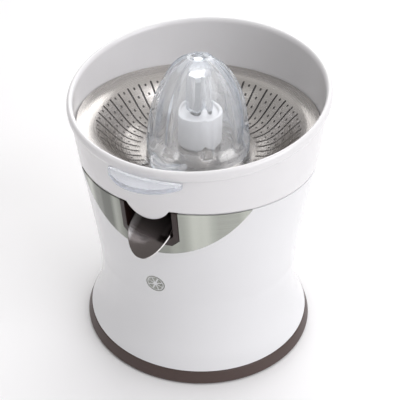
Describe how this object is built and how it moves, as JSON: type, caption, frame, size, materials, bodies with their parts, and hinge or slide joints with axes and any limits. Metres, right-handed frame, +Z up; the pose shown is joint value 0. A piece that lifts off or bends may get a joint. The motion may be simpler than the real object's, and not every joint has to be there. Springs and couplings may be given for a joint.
{
  "type": "electric citrus juicer",
  "caption": "Countertop citrus press with an oval waisted housing, lift-off juice bowl with slanted rim, slotted steel strainer, clear fluted reamer and tilting steel spout.",
  "frame": {"origin": "on the table under the middle of the whole object; the reamer's axis stands 4.5 mm behind it", "axes": "+Z up along the reamer's axis; the spout and lift tab face -Y; +X to the right seen from the spout's side"},
  "size_m": [0.182, 0.1846, 0.2208],
  "materials": {
    "white_housing": "glossy moulded white",
    "white_bowl": "glossy moulded white",
    "base_dark": "satin dark brown",
    "liner_dark": "semi-gloss dark brown",
    "brushed_panel": "fine horizontal brush",
    "polished_spout": "polished",
    "satin_strainer": "satin pressed sheet",
    "clear_reamer": "clear with a cool tint",
    "clear_tab": "clear with a cool tint",
    "white_bush": "smooth white nylon",
    "gear_nylon": "natural nylon",
    "cast_plastic": "glass-filled",
    "plain_steel": "ground",
    "bronze": "sintered",
    "copper_wire": "enamelled",
    "rubber_black": "matt",
    "black_plastic": "matt"
  },
  "bodies": {
    "base": {"housing": "white_housing", "base_ring": "base_dark", "base_plate": "base_dark", "front_panel": "brushed_panel", "notch_liner": "liner_dark", "spout_pin": "plain_steel", "shaft_seal": "rubber_black", "intermediate_axle": "plain_steel", "output_bush_lower": "bronze", "output_bush_upper": "bronze", "gearbox_tray": "cast_plastic", "gearbox_cover": "cast_plastic", "motor_can": "plain_steel", "motor_bell": "plain_steel", "motor_bearing_top": "bronze", "motor_bearing_bottom": "bronze", "motor_stator": "plain_steel", "winding_lower": "copper_wire", "winding_upper": "copper_wire", "switch_body": "black_plastic", "switch_bracket": "plain_steel", "cord_gland": "rubber_black", "foot_1": "rubber_black", "base_screw_1": "plain_steel", "mount_grommet_1": "rubber_black", "mount_screw_1": "plain_steel", "foot_2": "rubber_black", "base_screw_2": "plain_steel", "mount_grommet_2": "rubber_black", "mount_screw_2": "plain_steel", "foot_3": "rubber_black", "base_screw_3": "plain_steel", "mount_grommet_3": "rubber_black", "mount_screw_3": "plain_steel", "foot_4": "rubber_black", "base_screw_4": "plain_steel", "mount_grommet_4": "rubber_black", "mount_screw_4": "plain_steel"},
    "spout": {"spout": "polished_spout"},
    "bowl": {"bowl": "white_bowl", "lift_tab": "clear_tab"},
    "strainer": {"strainer": "satin_strainer"},
    "reamer_bush": {"reamer_bush": "white_bush"},
    "reamer": {"reamer": "clear_reamer"},
    "output_gear": {"output_gear": "gear_nylon", "return_spring": "plain_steel"},
    "drive_shaft": {"drive_shaft": "plain_steel"},
    "intermediate_gear": {"intermediate_gear": "gear_nylon"},
    "motor_rotor": {"motor_shaft": "plain_steel", "rotor_core": "plain_steel", "motor_pinion": "plain_steel", "cooling_fan": "black_plastic"},
    "switch_plunger": {"switch_plunger": "gear_nylon"}
  },
  "joints": [
    {"name": "spout_tilt", "type": "hinge", "parent": "base", "child": "spout", "pos_m": [0, -0.06148, 0.1243], "axis": [-1, 0, 0], "range_deg": [0, 35]},
    {"name": "bowl_lift", "type": "slide", "parent": "base", "child": "bowl", "axis": [0, 0, 1], "range_m": [0, 0.12]},
    {"name": "strainer_lift", "type": "slide", "parent": "bowl", "child": "strainer", "axis": [0, 0, 1], "range_m": [0, 0.06]},
    {"name": "reamer_lift", "type": "slide", "parent": "strainer", "child": "reamer_bush", "axis": [0, 0, 1], "range_m": [-0.0015, 0.08]},
    {"name": "reamer_spin", "type": "hinge", "parent": "reamer_bush", "child": "reamer", "pos_m": [0, 0.00452, 0.18], "axis": [0, 0, 1], "continuous": true},
    {"name": "output_spin", "type": "hinge", "parent": "base", "child": "output_gear", "pos_m": [0, 0.00452, 0.117], "axis": [0, 0, 1], "continuous": true},
    {"name": "shaft_press", "type": "slide", "parent": "output_gear", "child": "drive_shaft", "axis": [0, 0, 1], "range_m": [-0.0015, 0], "stiffness_N_per_m": 900, "springref_m": 0.002, "deforming": ["return_spring"]},
    {"name": "intermediate_spin", "type": "hinge", "parent": "base", "child": "intermediate_gear", "pos_m": [0.02946, 0.03686, 0.11], "axis": [0, 0, 1], "continuous": true},
    {"name": "motor_spin", "type": "hinge", "parent": "base", "child": "motor_rotor", "pos_m": [0, 0.04252, 0.08], "axis": [0, 0, 1], "continuous": true},
    {"name": "switch_press", "type": "slide", "parent": "base", "child": "switch_plunger", "axis": [0, 0, 1], "range_m": [-0.0015, 0]}
  ],
  "couplings": [
    {"joint": "reamer_spin", "follows": "output_spin", "ratio": 1},
    {"joint": "intermediate_spin", "follows": "output_spin", "ratio": -4},
    {"joint": "motor_spin", "follows": "output_spin", "ratio": 16},
    {"joint": "switch_press", "follows": "shaft_press", "ratio": 1}
  ]
}
